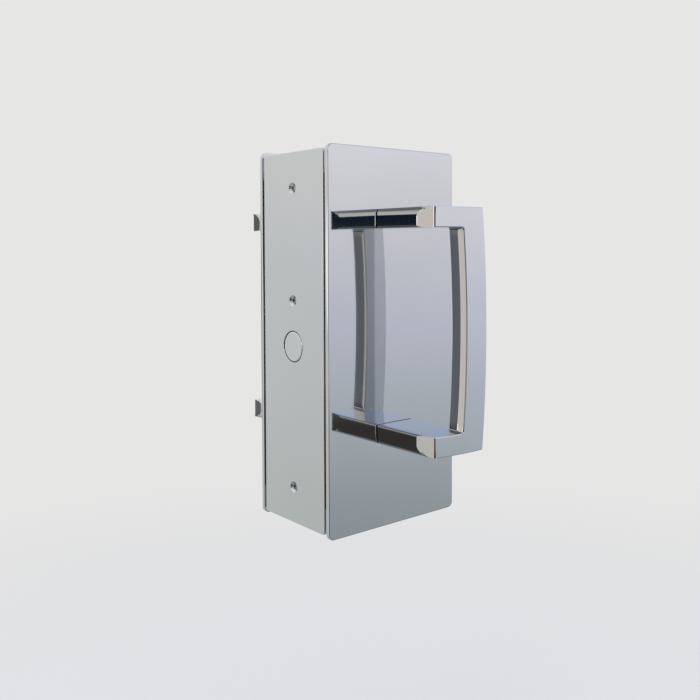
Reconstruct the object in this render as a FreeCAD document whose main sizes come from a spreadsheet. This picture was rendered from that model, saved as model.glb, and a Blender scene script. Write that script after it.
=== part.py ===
"""Pocket door pull: a cased edge pull with a grip on each face and a magnetic latch bolt.

Millimetres. +X runs into the door, -Y is the near face of the door and +Z is up.
The origin is the middle of the chassis back, which seats on the bottom of the door's notch.
"""
import os

import FreeCAD
import Part
import Sketcher
from FreeCAD import Placement, Rotation, Vector

SIZES = {
    "door_thickness": 44.45,
    "plate_height": 158.8,
    "plate_width": 70.5,
    "plate_thickness": 2.0,
    "plate_corner": 2.5,
    "plate_ease": 0.35,
    "edge_plate_height": 155.6,
    "edge_plate_thickness": 2.0,
    "edge_plate_corner": 1.5,
    "edge_gap": 1.1,
    "chassis_height": 138.0,
    "chassis_depth": 50.0,
    "chassis_wall": 3.0,
    "chassis_corner": 3.0,
    "boss_width": 14.0,
    "boss_depth": 12.0,
    "boss_margin": 6.0,
    "block_margin": 3.0,
    "fixing_hole": 4.6,
    "fixing_head": 8.2,
    "fixing_spacing": 96.0,
    "pull_height": 98.0,
    "pull_raise": 5.0,
    "far_pull_shift": 9.5,
    "arm_thickness": 8.2,
    "post_width": 20.3,
    "bar_reach": 29.3,
    "bar_thickness": 8.2,
    "grip_width": 11.9,
    "grip_crown": 0.8,
    "projection": 34.7,
    "arch": 2.5,
    "front_radius": 100.0,
    "crest": 12.8,
    "end_sag": 0.7,
    "end_round": 0.8,
    "facet_depth": 7.5,
    "facet_width": 1.5,
    "inner_round": 1.0,
    "pull_ease": 0.4,
    "pull_screw": 4.0,
    "pull_screw_bite": 12.0,
    "pull_screw_head": 7.0,
    "pull_screw_head_height": 4.0,
    "pull_screw_socket": 3.0,
    "washer_width": 8.0,
    "washer_thickness": 1.0,
    "edge_screw": 2.5,
    "edge_screw_head": 4.6,
    "edge_screw_length": 9.0,
    "edge_screw_socket": 2.0,
    "edge_screw_spread": 62.7,
    "edge_screw_middle": 15.9,
    "insert_width": 4.4,
    "insert_length": 8.0,
    "bolt_width": 12.6,
    "bolt_length": 26.0,
    "bolt_drop": 3.4,
    "bolt_skin": 1.5,
    "bolt_ease": 0.4,
    "bolt_ring": 0.35,
    "bolt_fit": 0.06,
    "magnet_width": 9.0,
    "magnet_length": 8.0,
    "clip_thickness": 0.8,
    "clip_depth": 0.7,
    "clip_margin": 1.0,
    "clip_room": 0.3,
    "seat_thickness": 0.6,
    "seat_room": 0.25,
    "guide_wall": 1.6,
    "guide_lip": 4.0,
    "guide_flange": 2.0,
    "guide_flange_thickness": 1.5,
    "spring_room": 1.9,
    "spring_wire": 0.8,
    "spring_turns": 6.0,
    "spring_end_gap": 0.05,
    "buffer_thickness": 1.8,
    "buffer_gap": 0.2,
    "cap_thickness": 2.5,
    "cap_ear": 6.0,
    "cap_screw": 2.5,
    "cap_screw_head": 4.6,
    "cap_screw_head_height": 1.8,
    "cap_screw_bite": 7.0,
    "cap_screw_socket": 1.5,
    "seat_clearance": 0.03,
    "hole_clearance": 0.2,
    "drill_overrun": 1.0,
}

doc = FreeCAD.newDocument("pocket_door_pull")
sheet = doc.addObject("Spreadsheet::Sheet", "sizes")
for row, (alias, number) in enumerate(SIZES.items(), start=1):
    sheet.set(f"A{row}", alias)
    sheet.set(f"B{row}", str(number))
    sheet.setAlias(f"B{row}", alias)
doc.recompute()

parts = []


def bind(text):
    """Turn the size names in a formula into references to the sheet."""
    words = []
    for word in text.split():
        bare = word.strip("()")
        words.append(word.replace(bare, "sizes." + bare) if bare in SIZES else word)
    return " ".join(words)


ARCH_RADIUS = "( ( pull_height * pull_height / 4 + arch * arch ) / ( 2 * arch ) )"
ARM_MIDDLE = "( pull_height - arm_thickness ) / 2"
POST_LEFT = "-1 * post_width / 2"
GRIP_LEFT = "( bar_reach - post_width / 2 - grip_width )"
BAR_RIGHT = "( bar_reach - post_width / 2 )"
INNER_FACE = "( pull_height / 2 - arm_thickness )"
BAR_BACK = "( projection - bar_thickness )"
ARCH_CENTRE = f"( {GRIP_LEFT} - {ARCH_RADIUS} )"
GRIP_END = f"( {ARCH_CENTRE} + sqrt( {ARCH_RADIUS} * {ARCH_RADIUS} - {INNER_FACE} * {INNER_FACE} ) )"
CROWN_RADIUS = "( bar_thickness * bar_thickness / 4 + grip_crown * grip_crown ) / ( 2 * grip_crown )"
CUT_LEFT = f"( {POST_LEFT} - end_sag )"
CUT_RIGHT = f"( {BAR_RIGHT} + end_sag )"


def front_level(across):
    """How far the curved front of a pull stands out from the plate at a place across it."""
    offset = f"( crest - {across} )"
    return f"( projection - front_radius + sqrt( front_radius * front_radius - {offset} * {offset} ) )"


FRONT_LEFT = front_level(f"( {POST_LEFT} )")
PLATE_MIDDLE = "plate_width / 2 - edge_plate_thickness - chassis_depth"
OUTER_EDGE = "-1 * chassis_depth - edge_plate_thickness"
SPRING_BORE = "( bolt_width / 2 + spring_room )"
SLEEVE = "( bolt_width / 2 + spring_room + guide_wall )"
GUIDE_LENGTH = "( bolt_length - edge_plate_thickness + buffer_gap + buffer_thickness )"
CLIP_FRONT = "( bolt_length - clip_margin - clip_thickness )"
CAP_SCREW_PLACE = "( bolt_width / 2 + spring_room + guide_wall + cap_ear / 2 )"
SIDE_FACE = "door_thickness / 2"
SCREW_HEIGHTS = ("edge_screw_spread", "edge_screw_middle", "-1 * edge_screw_spread")
PULL_SCREW_GRIP = "washer_thickness + chassis_wall + plate_thickness"
PULL_SCREW_END = f"pull_screw_head_height + {PULL_SCREW_GRIP} + pull_screw_bite"


def set_size(target, prop, formula):
    target.setExpression(prop, bind(formula))


def new_body(label):
    body = doc.addObject("PartDesign::Body", label)
    body.Label = label
    return body


def new_sketch(body, name, plane, lift="0"):
    """A sketch on one of the body's own origin planes, lifted along the plane's normal."""
    sketch = body.newObject("Sketcher::SketchObject", f"{body.Name}_{name}")
    support = next(item for item in body.Origin.OriginFeatures if item.Role == plane)
    sketch.AttachmentSupport = (support, [""])
    sketch.MapMode = "FlatFace"
    set_size(sketch, "AttachmentOffset.Base.z", lift)
    return sketch


def pin_point(sketch, edge, end, across, up):
    """Fix one point of the sketch at two formulas measured from the sketch's origin."""
    spot = sketch.getPoint(edge, end)
    for kind, now, formula in (("DistanceX", spot.x, across), ("DistanceY", spot.y, up)):
        index = sketch.addConstraint(Sketcher.Constraint(kind, -1, 1, edge, end, now))
        name = f"pin{index}"
        sketch.renameConstraint(index, name)
        set_size(sketch, f"Constraints.{name}", formula)


def draw_polygon(sketch, corners):
    """A closed outline through corners given as pairs of formulas."""
    first = sketch.GeometryCount
    count = len(corners)
    for index in range(count):
        start = Vector(index, index * index, 0)
        finish = Vector(index + 1, (index + 1) * (index + 1), 0)
        sketch.addGeometry(Part.LineSegment(start, finish), False)
    for index in range(count):
        following = first + (index + 1) % count
        sketch.addConstraint(Sketcher.Constraint("Coincident", first + index, 2, following, 1))
    for index, (across, up) in enumerate(corners):
        pin_point(sketch, first + index, 1, across, up)


def draw_rectangle(sketch, left, right, low, high):
    draw_polygon(sketch, [(left, low), (right, low), (right, high), (left, high)])


def draw_circle(sketch, across, up, width):
    edge = sketch.addGeometry(Part.Circle(Vector(0, 0, 0), Vector(0, 0, 1), 1.0), False)
    pin_point(sketch, edge, 3, across, up)
    index = sketch.addConstraint(Sketcher.Constraint("Diameter", edge, 2.0))
    sketch.renameConstraint(index, f"width{index}")
    set_size(sketch, f"Constraints.width{index}", width)


def draw_hexagon(sketch, across_flats):
    half = f"( {across_flats} ) / 2"
    long = f"( {across_flats} ) / sqrt( 3 )"
    draw_polygon(sketch, [
        (f"-1 * {half}", f"-0.5 * {long}"), ("0", f"-1 * {long}"), (half, f"-0.5 * {long}"),
        (half, f"0.5 * {long}"), ("0", long), (f"-1 * {half}", f"0.5 * {long}")])


def feature(body, kind, name, sketch, **settings):
    item = body.newObject(f"PartDesign::{kind}", f"{body.Name}_{name}")
    item.Profile = sketch
    for prop, setting in settings.items():
        setattr(item, prop, setting)
    return item


def pad(body, name, sketch, length, backwards=False):
    item = feature(body, "Pad", name, sketch, Reversed=backwards)
    set_size(item, "Length", length)
    doc.recompute()
    return item


def pocket(body, name, sketch, length, backwards=False):
    """A cut that has to take material away."""
    before = body.Shape.Volume
    item = feature(body, "Pocket", name, sketch, Reversed=backwards)
    set_size(item, "Length", length)
    doc.recompute()
    if body.Shape.Volume >= before:
        raise RuntimeError(f"{item.Name} cut nothing")
    return item


def pocket_through(body, name, sketch):
    before = body.Shape.Volume
    feature(body, "Pocket", name, sketch, Type="ThroughAll", Midplane=True)
    doc.recompute()
    if body.Shape.Volume >= before:
        raise RuntimeError(f"{name} cut nothing")


def edges_where(body, test):
    return [f"Edge{number}" for number, edge in enumerate(body.Shape.Edges, start=1) if test(edge)]


def dress(body, kind, name, size_prop, formula, test):
    """A fillet or chamfer on the edges that pass the test."""
    base = body.Tip
    names = edges_where(body, test)
    if not names:
        raise RuntimeError(f"{name} found no edges")
    item = body.newObject(f"PartDesign::{kind}", f"{body.Name}_{name}")
    item.Base = (base, names)
    set_size(item, size_prop, formula)
    doc.recompute()
    return item


def along(edge, axis):
    """Whether a straight edge runs along an axis."""
    if edge.Curve.TypeId != "Part::GeomLine":
        return False
    return abs(abs(edge.Curve.Direction.dot(axis)) - 1) < 1e-6


def flat_at(edge, axis, level):
    """Whether an edge lies in the plane at a level along an axis."""
    box = edge.BoundBox
    low = Vector(box.XMin, box.YMin, box.ZMin).dot(axis)
    high = Vector(box.XMax, box.YMax, box.ZMax).dot(axis)
    return abs(low - level) < 1e-4 and abs(high - level) < 1e-4


def is_circle(edge, width):
    return edge.Curve.TypeId == "Part::GeomCircle" and abs(2 * edge.Curve.Radius - width) < 1e-4


def is_upright(surface):
    """Whether a surface is a cylinder about an upright axis."""
    if surface.TypeId != "Part::GeomCylinder":
        return False
    return abs(abs(surface.Axis.dot(AXIS_Z)) - 1) < 1e-6


def place(target, x="0", y="0", z="0", turn=None):
    if turn is not None:
        target.Placement = Placement(Vector(0, 0, 0), turn)
    set_size(target, "Placement.Base.x", x)
    set_size(target, "Placement.Base.y", y)
    set_size(target, "Placement.Base.z", z)


AXIS_X = Vector(1, 0, 0)
AXIS_Y = Vector(0, 1, 0)
AXIS_Z = Vector(0, 0, 1)
TO_NEAR = Rotation(AXIS_Z, -90)
TO_FAR = Rotation(AXIS_Z, 90)
UPSIDE_DOWN = Rotation(AXIS_X, 180)


def turned(label, profile):
    """A piece turned about its own X axis, from (along, radius) formulas."""
    body = new_body(label)
    sketch = new_sketch(body, "profile", "XY_Plane")
    draw_polygon(sketch, profile)
    feature(body, "Revolution", "turning", sketch, ReferenceAxis=(sketch, ["H_Axis"]), Angle=360.0)
    doc.recompute()
    return body


def ring(label, outer, inner, length):
    return turned(label, [
        ("0", f"{inner} / 2"), ("0", f"{outer} / 2"), (length, f"{outer} / 2"), (length, f"{inner} / 2")])


def socket(body, across_flats, depth):
    sketch = new_sketch(body, "socket", "YZ_Plane")
    draw_hexagon(sketch, across_flats)
    pocket(body, "socket_cut", sketch, depth, backwards=True)


def group(label, members):
    """Like fasteners kept together as separate solids of one node."""
    compound = doc.addObject("Part::Compound", label)
    compound.Label = label
    compound.Links = members
    parts.append(compound)


def cap_screw(label):
    body = turned(label, [
        ("0", "0"), ("0", "pull_screw_head / 2"), ("pull_screw_head_height", "pull_screw_head / 2"),
        ("pull_screw_head_height", "pull_screw / 2"), (PULL_SCREW_END, "pull_screw / 2"),
        (PULL_SCREW_END, "0")])
    socket(body, "pull_screw_socket", "pull_screw_head_height / 2")
    return body


def face_plate(label, y, outer_level, shift):
    """One polished cover sheet, with its two holes for the pull's screws."""
    body = new_body(label)
    outline = new_sketch(body, "outline", "XZ_Plane")
    draw_rectangle(outline, "-1 * plate_width / 2", "plate_width / 2",
                   "-1 * plate_height / 2", "plate_height / 2")
    pad(body, "sheet", outline, "plate_thickness")
    dress(body, "Fillet", "corners", "Radius", "plate_corner", lambda edge: along(edge, AXIS_Y))
    dress(body, "Fillet", "eased_rim", "Radius", "plate_ease",
          lambda edge: flat_at(edge, AXIS_Y, outer_level))
    holes = new_sketch(body, "holes", "XZ_Plane")
    for side in ("", "-1 * "):
        draw_circle(holes, shift, f"pull_raise + {side}{ARM_MIDDLE}", "pull_screw + 2 * hole_clearance")
    pocket_through(body, "screw_holes", holes)
    place(body, x=PLATE_MIDDLE, y=y)
    parts.append(body)


def edge_plate():
    body = new_body("edge_plate")
    outline = new_sketch(body, "outline", "YZ_Plane")
    half = "( door_thickness / 2 - edge_gap )"
    draw_rectangle(outline, f"-1 * {half}", half, "-1 * edge_plate_height / 2", "edge_plate_height / 2")
    pad(body, "sheet", outline, "edge_plate_thickness")
    dress(body, "Fillet", "corners", "Radius", "edge_plate_corner", lambda edge: along(edge, AXIS_X))
    dress(body, "Fillet", "eased_rim", "Radius", "plate_ease", lambda edge: flat_at(edge, AXIS_X, 0))
    holes = new_sketch(body, "holes", "YZ_Plane")
    draw_circle(holes, "0", "-1 * bolt_drop", "bolt_width + 2 * bolt_ring")
    for height in SCREW_HEIGHTS:
        draw_circle(holes, "0", height, "edge_screw + 2 * hole_clearance")
    pocket_through(body, "cut_holes", holes)
    clearance_width = SIZES["edge_screw"] + 2 * SIZES["hole_clearance"]
    dress(body, "Chamfer", "countersinks", "Size", "( edge_screw_head - edge_screw ) / 2",
          lambda edge: is_circle(edge, clearance_width) and flat_at(edge, AXIS_X, 0))
    place(body, x=OUTER_EDGE)
    parts.append(body)


def chassis():
    """The cast case: walls, the latch block, bosses and every hole in them."""
    body = new_body("chassis")
    front = "-1 * chassis_depth"
    inner = "( door_thickness / 2 - chassis_wall )"
    outline = new_sketch(body, "outline", "YZ_Plane")
    draw_rectangle(outline, f"-1 * {SIDE_FACE}", SIDE_FACE, "-1 * chassis_height / 2", "chassis_height / 2")
    pad(body, "casting", outline, "chassis_depth", backwards=True)
    dress(body, "Fillet", "corners", "Radius", "chassis_corner", lambda edge: along(edge, AXIS_X))

    cavity = new_sketch(body, "cavity", "YZ_Plane", front)
    room = "( chassis_height / 2 - chassis_wall )"
    draw_rectangle(cavity, f"-1 * {inner}", inner, f"-1 * {room}", room)
    pocket(body, "hollow", cavity, "chassis_depth - chassis_wall", backwards=True)

    block = new_sketch(body, "block", "YZ_Plane", front)
    block_low = f"-1 * bolt_drop - {SLEEVE} - block_margin"
    draw_rectangle(block, f"-1 * {SIDE_FACE}", SIDE_FACE, block_low, "edge_screw_middle + boss_margin")
    pad(body, "latch_block", block, GUIDE_LENGTH)

    bosses = new_sketch(body, "bosses", "YZ_Plane", front)
    boss_start = "( edge_screw_spread - boss_margin )"
    half_boss = "boss_width / 2"
    draw_rectangle(bosses, f"-1 * {half_boss}", half_boss, boss_start, "chassis_height / 2")
    draw_rectangle(bosses, f"-1 * {half_boss}", half_boss, "-1 * chassis_height / 2", f"-1 * {boss_start}")
    pad(body, "screw_bosses", bosses, "boss_depth")

    bore = new_sketch(body, "bore", "YZ_Plane", front)
    draw_circle(bore, "0", "-1 * bolt_drop", f"2 * {SLEEVE}")
    pocket(body, "guide_bore", bore, GUIDE_LENGTH, backwards=True)
    rebate = new_sketch(body, "rebate", "YZ_Plane", front)
    draw_circle(rebate, "0", "-1 * bolt_drop", f"2 * {SLEEVE} + 2 * guide_flange")
    pocket(body, "flange_rebate", rebate, "guide_flange_thickness", backwards=True)

    inserts = new_sketch(body, "inserts", "YZ_Plane", front)
    for height in SCREW_HEIGHTS:
        draw_circle(inserts, "0", height, "insert_width")
    pocket(body, "insert_holes", inserts, "insert_length", backwards=True)

    for side, lift, backwards, shift in (("near", SIDE_FACE, False, "0"),
                                         ("far", f"-1 * {SIDE_FACE}", True, "-1 * far_pull_shift")):
        holes = new_sketch(body, f"{side}_holes", "XZ_Plane", lift)
        for sign in ("", "-1 * "):
            draw_circle(holes, f"{PLATE_MIDDLE} + {shift}", f"pull_raise + {sign}{ARM_MIDDLE}",
                        "pull_screw + 2 * hole_clearance")
        pocket(body, f"{side}_pull_holes", holes, "chassis_wall", backwards=backwards)

    fixings = new_sketch(body, "fixings", "YZ_Plane")
    for sign in ("", "-1 * "):
        draw_circle(fixings, "0", f"{sign}fixing_spacing / 2", "fixing_hole")
    pocket(body, "fixing_holes", fixings, "chassis_wall")
    wall_inside = -SIZES["chassis_wall"]
    dress(body, "Chamfer", "fixing_countersinks", "Size", "( fixing_head - fixing_hole ) / 2",
          lambda edge: is_circle(edge, SIZES["fixing_hole"]) and flat_at(edge, AXIS_X, wall_inside))

    cap_holes = new_sketch(body, "cap_holes", "YZ_Plane", f"{GUIDE_LENGTH} - chassis_depth")
    for sign in ("", "-1 * "):
        draw_circle(cap_holes, f"{sign}{CAP_SCREW_PLACE}", "-1 * bolt_drop",
                    "cap_screw + 2 * seat_clearance")
    pocket(body, "cap_screw_holes", cap_holes, "cap_screw_bite + drill_overrun")
    parts.append(body)


def draw_end_arc(sketch, inner_edge, outer_edge, centre_up):
    """The rounded free end of an arm, upright at the arm's inner face."""
    inner = sketch.getPoint(*inner_edge)
    outer = sketch.getPoint(*outer_edge)
    middle = Vector((inner.x + outer.x) / 2 - SIZES["end_sag"] / 4, (inner.y + outer.y) / 2, 0)
    joined = [(inner.y, inner, inner_edge), (outer.y, outer, outer_edge)]
    high, low = sorted(joined, key=lambda item: item[0], reverse=True)
    arc = sketch.addGeometry(Part.Arc(high[1], middle, low[1]), False)
    sketch.addConstraint(Sketcher.Constraint("Coincident", arc, 1, *high[2]))
    sketch.addConstraint(Sketcher.Constraint("Coincident", arc, 2, *low[2]))
    centre = sketch.getPoint(arc, 3).y
    index = sketch.addConstraint(Sketcher.Constraint("DistanceY", -1, 1, arc, 3, centre))
    sketch.renameConstraint(index, f"centre{index}")
    set_size(sketch, f"Constraints.centre{index}", centre_up)


def draw_open_path(sketch, corners):
    """Lines through corners given as (formula, formula, starting point)."""
    first = sketch.GeometryCount
    for one, other in zip(corners, corners[1:]):
        sketch.addGeometry(Part.LineSegment(one[2], other[2]), False)
    for index in range(len(corners) - 2):
        sketch.addConstraint(Sketcher.Constraint("Coincident", first + index, 2, first + index + 1, 1))
    for index, corner in enumerate(corners[:-1]):
        pin_point(sketch, first + index, 1, corner[0], corner[1])
    last = first + len(corners) - 2
    pin_point(sketch, last, 2, corners[-1][0], corners[-1][1])
    return first, last


def close_with_arc(sketch, first, last, middle, radius):
    """Close an open path with an arc of the given radius, first drawn through a middle point."""
    ends = [(last, 2), (first, 1)]
    points = [sketch.getPoint(*end) for end in ends]
    arc = sketch.addGeometry(Part.Arc(points[0], middle, points[1]), False)
    start = sketch.getPoint(arc, 1)
    if start.distanceToPoint(points[0]) > start.distanceToPoint(points[1]):
        ends.reverse()
    sketch.addConstraint(Sketcher.Constraint("Coincident", arc, 1, *ends[0]))
    sketch.addConstraint(Sketcher.Constraint("Coincident", arc, 2, *ends[1]))
    index = sketch.addConstraint(Sketcher.Constraint("Radius", arc, sketch.Geometry[arc].Radius))
    sketch.renameConstraint(index, f"radius{index}")
    set_size(sketch, f"Constraints.radius{index}", radius)


def draw_arm_end(sketch, sign, side, side_value):
    """An outline between a straight side and the crowned free end of one arm, seen from the front."""
    flip = "-1 * " if sign < 0 else ""
    outer = f"{flip}pull_height / 2"
    inner = f"{flip}{INNER_FACE}"
    left_value = -SIZES["post_width"] / 2
    outer_value = sign * SIZES["pull_height"] / 2
    inner_value = sign * (SIZES["pull_height"] / 2 - SIZES["arm_thickness"])
    first, last = draw_open_path(sketch, [
        (POST_LEFT, inner, Vector(left_value, inner_value, 0)),
        (side, inner, Vector(side_value, inner_value, 0)),
        (side, outer, Vector(side_value, outer_value, 0)),
        (f"{POST_LEFT} + end_sag", outer, Vector(left_value + SIZES["end_sag"], outer_value, 0))])
    draw_end_arc(sketch, (first, 1), (last, 2), inner)


def draw_front(sketch):
    """What is cut away in front of the bar: the bar's front is left gently curved across."""
    left = -SIZES["post_width"] / 2 - SIZES["end_sag"]
    right = SIZES["bar_reach"] - SIZES["post_width"] / 2 + SIZES["end_sag"]
    level = -SIZES["projection"]
    beyond = "-1 * projection - bar_thickness"
    first, last = draw_open_path(sketch, [
        (CUT_LEFT, f"-1 * {front_level(CUT_LEFT)}", Vector(left, level + 1, 0)),
        (CUT_LEFT, beyond, Vector(left, level - SIZES["bar_thickness"], 0)),
        (CUT_RIGHT, beyond, Vector(right, level - SIZES["bar_thickness"], 0)),
        (CUT_RIGHT, f"-1 * {front_level(CUT_RIGHT)}", Vector(right, level + 1, 0))])
    close_with_arc(sketch, first, last, Vector((left + right) / 2, level, 0), "front_radius")


def draw_arched(sketch, far_side, far_value, near_side, near_value, reach, reach_value):
    """An outline with one arched side, which is the line of the grip, and three straight ones."""
    middle = near_value + SIZES["arch"] * (reach_value / (SIZES["pull_height"] / 2)) ** 2
    first, last = draw_open_path(sketch, [
        (near_side, reach, Vector(near_value, reach_value, 0)),
        (far_side, reach, Vector(far_value, reach_value, 0)),
        (far_side, f"-1 * {reach}", Vector(far_value, -reach_value, 0)),
        (near_side, f"-1 * {reach}", Vector(near_value, -reach_value, 0))])
    close_with_arc(sketch, first, last, Vector(middle, 0, 0), ARCH_RADIUS)


def pull(label, y, shift, turn, height):
    """The C-shaped grip: an arched bar with a curved front, two posts, crowned free ends and facets."""
    body = new_body(label)
    half = SIZES["pull_height"] / 2
    right = SIZES["bar_reach"] - SIZES["post_width"] / 2
    bar = new_sketch(body, "bar", "XY_Plane", "-1 * pull_height / 2")
    draw_rectangle(bar, POST_LEFT, BAR_RIGHT, "-1 * projection", f"-1 * {BAR_BACK}")
    pad(body, "bar_pad", bar, "pull_height")

    outside = new_sketch(body, "outside", "XZ_Plane")
    draw_arched(outside, f"{BAR_RIGHT} + arch", right + SIZES["arch"], f"{BAR_RIGHT} - arch",
                right - SIZES["arch"], "pull_height / 2", half)
    pocket_through(body, "arched_outside", outside)

    window = new_sketch(body, "window", "XZ_Plane")
    draw_arched(window, "-1 * pull_height", -SIZES["pull_height"], GRIP_END,
                right - SIZES["grip_width"] - SIZES["arch"], INNER_FACE, half - SIZES["arm_thickness"])
    pocket_through(body, "hand_gap", window)

    ends = new_sketch(body, "ends", "XZ_Plane")
    for sign in (1, -1):
        draw_arm_end(ends, sign, f"{POST_LEFT} - end_sag", -SIZES["post_width"] / 2 - SIZES["end_sag"])
    pocket_through(body, "crowned_ends", ends)

    posts = new_sketch(body, "posts", "XZ_Plane")
    for sign in (1, -1):
        draw_arm_end(posts, sign, "post_width / 2", SIZES["post_width"] / 2)
    pad(body, "posts_pad", posts, f"{BAR_BACK} + bar_thickness / 4")
    free_end = SIZES["end_sag"] * 2 - SIZES["post_width"] / 2
    dress(body, "Fillet", "end_corners", "Radius", "end_round",
          lambda edge: along(edge, AXIS_Y) and edge.BoundBox.XMax < free_end)

    crown = new_sketch(body, "crown", "XY_Plane")
    set_size(crown, "AttachmentOffset.Base.x", ARCH_CENTRE)
    draw_crown(crown)
    rounding = feature(body, "Revolution", "finger_side", crown,
                       ReferenceAxis=(crown, ["V_Axis"]), Midplane=True)
    set_size(rounding, "Angle", f"2 * asin( ( {ARM_MIDDLE} ) / {ARCH_RADIUS} )")
    doc.recompute()

    dress(body, "Fillet", "inner_corners", "Radius", "inner_round", is_inner_corner)
    front = new_sketch(body, "front", "XY_Plane")
    draw_front(front)
    pocket_through(body, "curved_front", front)
    facet = new_sketch(body, "facet", "XY_Plane")
    draw_polygon(facet, [
        (POST_LEFT, f"facet_depth - {FRONT_LEFT}"),
        (f"{POST_LEFT} + facet_width * 2", f"-1 * facet_depth - {FRONT_LEFT}"),
        (POST_LEFT, f"-1 * facet_depth - {FRONT_LEFT}")])
    pocket_through(body, "end_facets", facet)
    dress(body, "Fillet", "eased_front", "Radius", "pull_ease", front_outline(body))

    holes = new_sketch(body, "holes", "XZ_Plane")
    for sign in ("", "-1 * "):
        draw_circle(holes, "0", f"{sign}{ARM_MIDDLE}", "pull_screw + 2 * seat_clearance")
    pocket(body, "screw_holes", holes, "pull_screw_bite + drill_overrun", backwards=True)
    place(body, x=f"{PLATE_MIDDLE} + {shift}", y=y, z=height, turn=turn)
    parts.append(body)


def is_inner_corner(edge):
    """Whether an edge is where an arm's inner face meets the finger side of the grip."""
    level = SIZES["pull_height"] / 2 - SIZES["arm_thickness"]
    side = SIZES["bar_reach"] - SIZES["post_width"] / 2 - SIZES["grip_width"]
    box = edge.BoundBox
    beside_grip = box.XMin > side - SIZES["arch"] - SIZES["grip_crown"] and box.XMax < side
    return beside_grip and (flat_at(edge, AXIS_Z, level) or flat_at(edge, AXIS_Z, -level))


def front_outline(body):
    """A test for the edges round the curved front face."""
    front = max((face for face in body.Shape.Faces if is_upright(face.Surface)),
                key=lambda face: face.Surface.Radius)
    return lambda edge: any(edge.isSame(other) for other in front.Edges)


def draw_crown(sketch):
    """The convex finger side of the grip: a shallow arc on the bar's side."""
    arch_radius = ((SIZES["pull_height"] / 2) ** 2 + SIZES["arch"] ** 2) / (2 * SIZES["arch"])
    front = Vector(arch_radius, -SIZES["projection"], 0)
    back = Vector(arch_radius, SIZES["bar_thickness"] - SIZES["projection"], 0)
    middle = Vector(arch_radius - SIZES["grip_crown"], (front.y + back.y) / 2, 0)
    first, last = draw_open_path(sketch, [
        (ARCH_RADIUS, "-1 * projection", front), (ARCH_RADIUS, f"-1 * {BAR_BACK}", back)])
    close_with_arc(sketch, first, last, middle, CROWN_RADIUS)


def pull_fasteners(side, turn, sign, shift):
    """The two screws and washers that clamp a pull and its plate to the case."""
    seat = f"{sign} * ( door_thickness / 2 - chassis_wall - washer_thickness )"
    head = f"{sign} * ( door_thickness / 2 - chassis_wall - washer_thickness - pull_screw_head_height )"
    screws = []
    washers = []
    for name, flip in (("upper", ""), ("lower", "-1 * ")):
        height = f"pull_raise + {flip}{ARM_MIDDLE}"
        across = f"{PLATE_MIDDLE} + {shift}"
        screw = cap_screw(f"{side}_{name}_pull_screw")
        place(screw, x=across, y=head, z=height, turn=turn)
        screws.append(screw)
        washer = ring(f"{side}_{name}_washer", "washer_width",
                      "( pull_screw + 2 * hole_clearance )", "washer_thickness")
        place(washer, x=across, y=seat, z=height, turn=turn)
        washers.append(washer)
    group(f"{side}_pull_screws", screws)
    group(f"{side}_pull_washers", washers)


def edge_fasteners():
    """The three countersunk screws of the edge plate and the brass inserts they turn into."""
    screws = []
    inserts = []
    sink = "( edge_screw_head - edge_screw ) / 2"
    for name, height in zip(("upper", "middle", "lower"), SCREW_HEIGHTS):
        screw = turned(f"{name}_edge_screw", [
            ("0", "0"), ("0", "edge_screw_head / 2"), (sink, "edge_screw / 2"),
            ("edge_screw_length", "edge_screw / 2"), ("edge_screw_length", "0")])
        socket(screw, "edge_screw_socket", "edge_screw / 2")
        place(screw, x=OUTER_EDGE, z=height)
        screws.append(screw)
        insert = ring(f"{name}_insert", "( insert_width - 2 * seat_clearance )",
                      "( edge_screw + 2 * seat_clearance )", "insert_length")
        place(insert, x="-1 * chassis_depth", z=height)
        inserts.append(insert)
    group("edge_screws", screws)
    group("edge_screw_inserts", inserts)


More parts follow.
